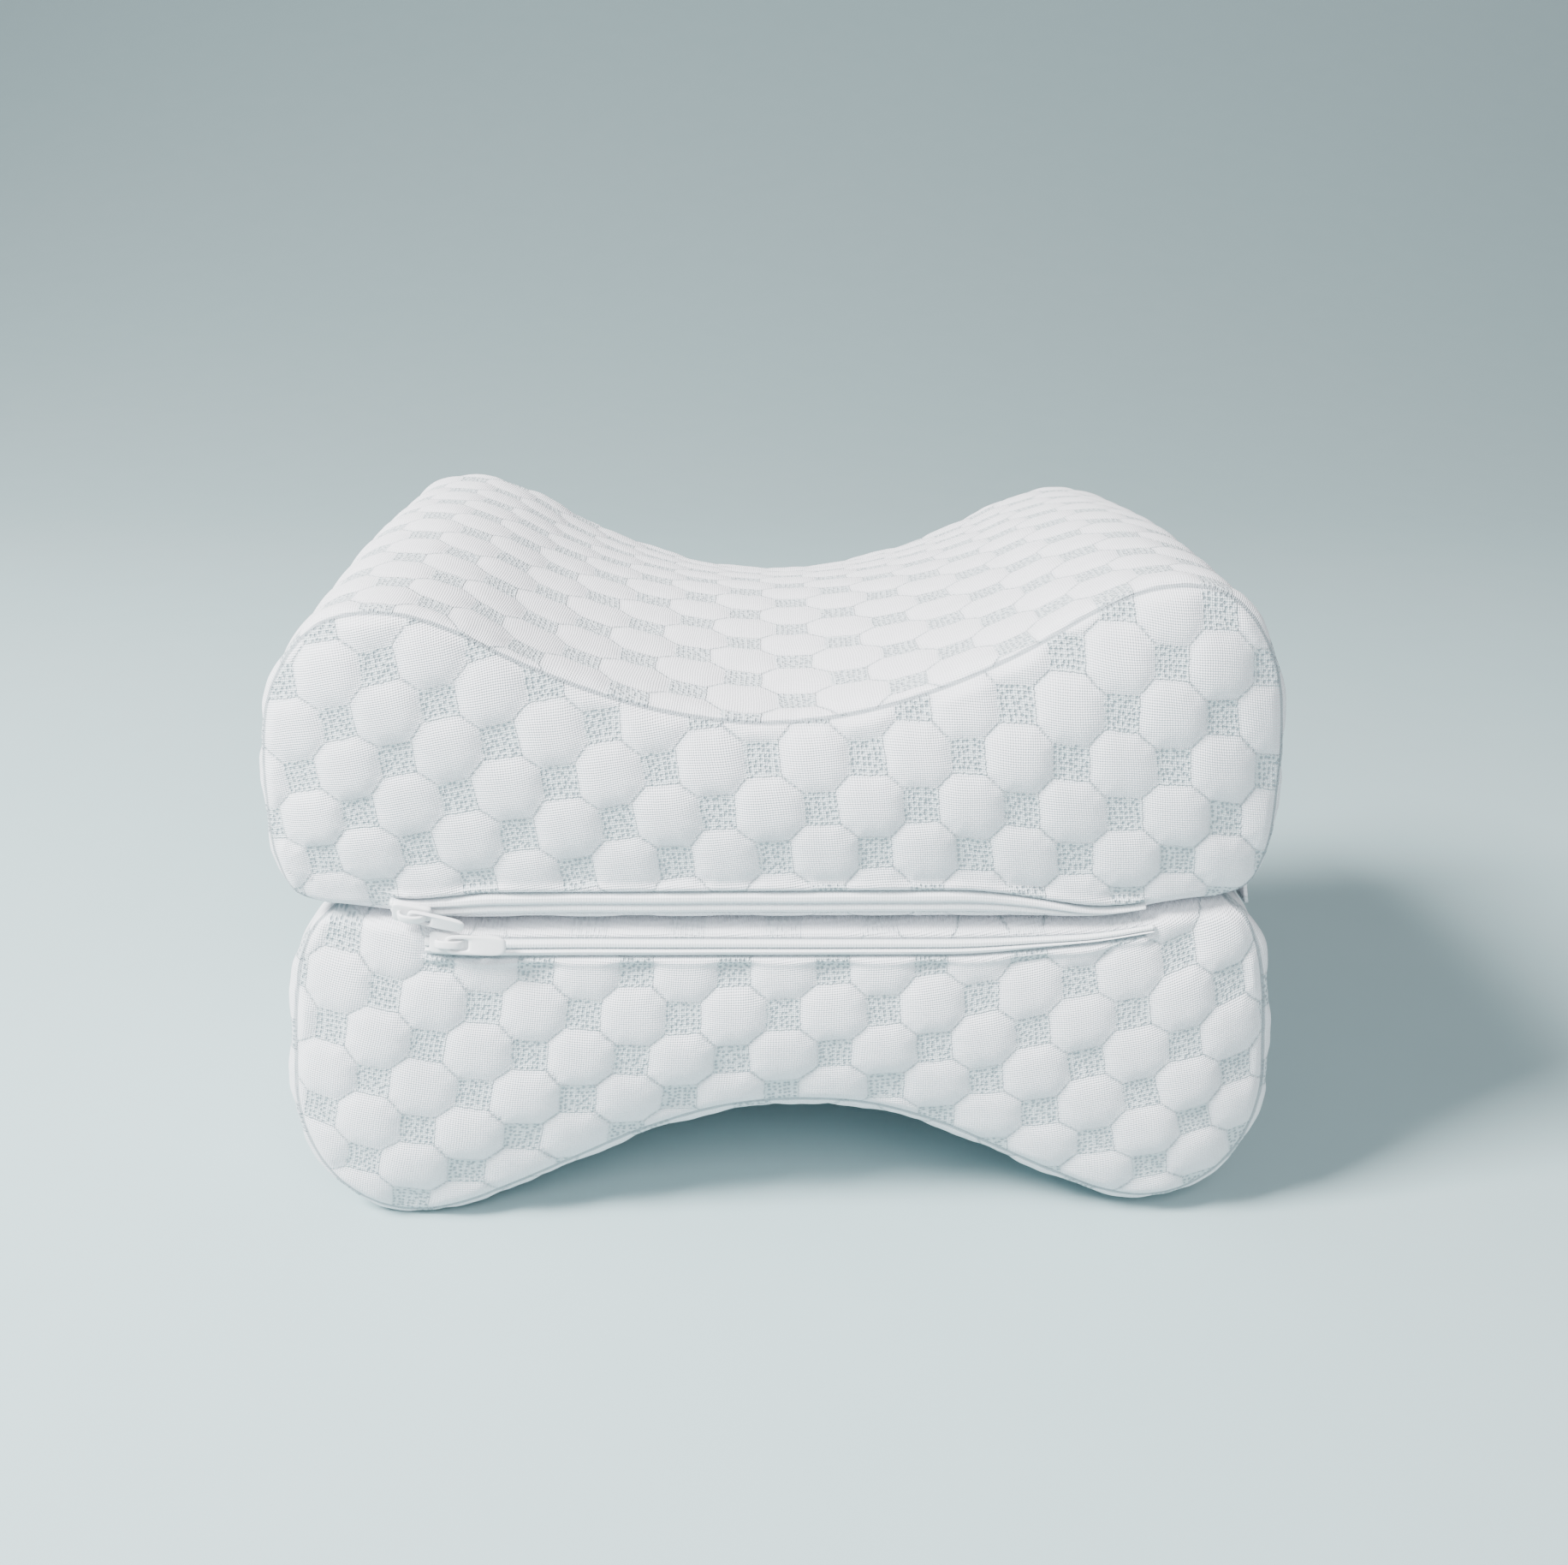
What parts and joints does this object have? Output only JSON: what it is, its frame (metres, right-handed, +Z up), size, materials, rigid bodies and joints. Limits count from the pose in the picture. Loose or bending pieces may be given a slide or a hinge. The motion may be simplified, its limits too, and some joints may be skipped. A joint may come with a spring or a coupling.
{
  "type": "knee pillow",
  "caption": "Contoured foam knee pillow in stacked halves, each in a puffed knit cover with a front zip, and leg hollows above and below.",
  "frame": {"origin": "middle of the footprint, on the surface the pillow stands on", "axes": "+X along the pillow's long side, to the right as seen from the zips; +Y from the zip side to the back; +Z up"},
  "size_m": [0.2676, 0.1831, 0.1802],
  "materials": {
    "puffed_knit": "matte puffed knit",
    "zip_tape": "matte woven tape",
    "slider_enamel": "white enamel, satin"
  },
  "bodies": {
    "root": {"upper_half": "puffed_knit", "lower_half": "puffed_knit", "end_hinge": "puffed_knit", "upper_zip": "zip_tape", "lower_zip": "zip_tape", "upper_slider": "slider_enamel", "lower_slider": "slider_enamel", "upper_pull_tab": "slider_enamel", "lower_pull_tab": "slider_enamel"}
  },
  "joints": []
}
